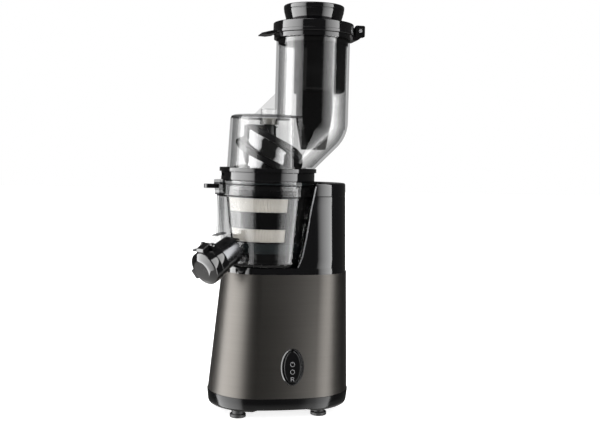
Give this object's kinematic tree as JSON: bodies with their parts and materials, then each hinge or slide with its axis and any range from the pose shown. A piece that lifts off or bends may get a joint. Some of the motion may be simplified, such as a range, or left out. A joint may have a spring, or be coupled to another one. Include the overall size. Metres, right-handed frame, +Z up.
{
  "type": "upright cold press juicer with a clear drum",
  "caption": "Upright cold press juicer with a dark brushed motor base, clear drum, black strainer and auger, feed tube and pusher",
  "frame": {"origin": "on the table, under the middle of the whole footprint", "axes": "+X towards the housing column, -Y towards the switch, +Z up"},
  "size_m": [0.1842, 0.1244, 0.4349],
  "materials": {
    "black_plastic": "fine moulded satin black",
    "black_gloss": "polished black",
    "warm_steel": "dark brushed, vertical sheen",
    "bright_trim": "bright plated",
    "clear_smoke": "clear, lightly smoked copolyester",
    "cream_mesh": "cream moulded resin",
    "silicone_dark": "soft dark teal silicone",
    "foot_rubber": "matte black rubber",
    "screw_steel": "turned steel",
    "lamination_steel": "stacked electrical steel",
    "cast_metal": "die cast",
    "copper_wire": "enamelled copper wire",
    "brass_part": "stamped brass",
    "gear_plastic": "natural acetal",
    "circuit_board": "solder-masked board"
  },
  "bodies": {
    "base": {"base_tray": "black_plastic", "board_components": "black_plastic", "cap_hinge_pin": "screw_steel", "clear_bowl": "clear_smoke", "column_cap": "black_plastic", "column_trim": "bright_trim", "control_board": "circuit_board", "cord_gland": "black_plastic", "drum_seal": "silicone_dark", "foot_screws": "screw_steel", "gearbox_bridge": "cast_metal", "gearbox_lid": "black_plastic", "gearbox_screws": "screw_steel", "gearbox_tub": "black_plastic", "lower_end_shield": "cast_metal", "lower_mesh": "cream_mesh", "motor_bearings": "screw_steel", "motor_sleeve": "warm_steel", "motor_stator": "lamination_steel", "motor_tie_screws": "screw_steel", "output_bearing": "screw_steel", "rocker_pin": "screw_steel", "rubber_feet": "foot_rubber", "shaft_seal": "foot_rubber", "silicone_sleeve": "silicone_dark", "spout_collar": "black_gloss", "stage_axle": "screw_steel", "stator_windings": "copper_wire", "strainer_frame": "black_gloss", "switch_bezel": "black_gloss", "switch_body": "black_plastic", "switch_terminals": "brass_part", "upper_cover": "black_plastic", "upper_end_shield": "cast_metal", "upper_mesh": "cream_mesh"},
    "auger_drive": {"output_gear": "gear_plastic", "output_shaft": "screw_steel", "drive_coupling": "screw_steel", "auger": "black_gloss"},
    "idler": {"first_stage_wheel": "gear_plastic", "second_stage_pinion": "screw_steel"},
    "rotor": {"rotor_core": "lamination_steel", "rotor_shaft": "screw_steel", "cooling_fan": "black_plastic", "motor_pinion": "screw_steel"},
    "rocker": {"switch_rocker": "black_gloss"},
    "spout_cap": {"juice_cap": "black_gloss", "cap_gasket": "silicone_dark"},
    "hood": {"clear_hood": "clear_smoke", "auger_pin_bush": "cream_mesh", "lock_ring": "black_gloss", "hood_seal": "silicone_dark", "feed_lid": "black_gloss", "lid_hinge_bracket": "black_gloss", "lid_hinge_pin": "bright_trim"},
    "pusher": {"pusher_cap": "black_gloss", "pusher_stem": "black_gloss"}
  },
  "joints": [
    {"name": "auger_spin", "type": "hinge", "parent": "base", "child": "auger_drive", "pos_m": [-0.00875, 0.00455, 0.2], "axis": [0, 0, 1], "continuous": true},
    {"name": "idler_spin", "type": "hinge", "parent": "base", "child": "idler", "pos_m": [0.03125, 0.00455, 0.118], "axis": [0, 0, 1], "continuous": true},
    {"name": "rotor_spin", "type": "hinge", "parent": "base", "child": "rotor", "pos_m": [0.00245, 0.00455, 0.06], "axis": [0, 0, 1], "continuous": true},
    {"name": "rocker_tilt", "type": "hinge", "parent": "base", "child": "rocker", "pos_m": [0.01325, -0.04164, 0.05295], "axis": [1, 0, 0], "range_deg": [-8, 8]},
    {"name": "cap_swing", "type": "hinge", "parent": "base", "child": "spout_cap", "pos_m": [-0.07696, -0.04501, 0.17843], "axis": [-0.5878, 0.809, 0], "range_deg": [0, 100]},
    {"name": "hood_turn", "type": "hinge", "parent": "base", "child": "hood", "pos_m": [-0.00875, 0.00455, 0.255], "axis": [0, 0, 1], "range_deg": [0, 35]},
    {"name": "pusher_slide", "type": "slide", "parent": "hood", "child": "pusher", "axis": [0, 0, 1], "range_m": [0, 0.16]}
  ],
  "couplings": [
    {"joint": "idler_spin", "follows": "auger_spin", "ratio": -4.3333},
    {"joint": "rotor_spin", "follows": "auger_spin", "ratio": 21.667}
  ]
}
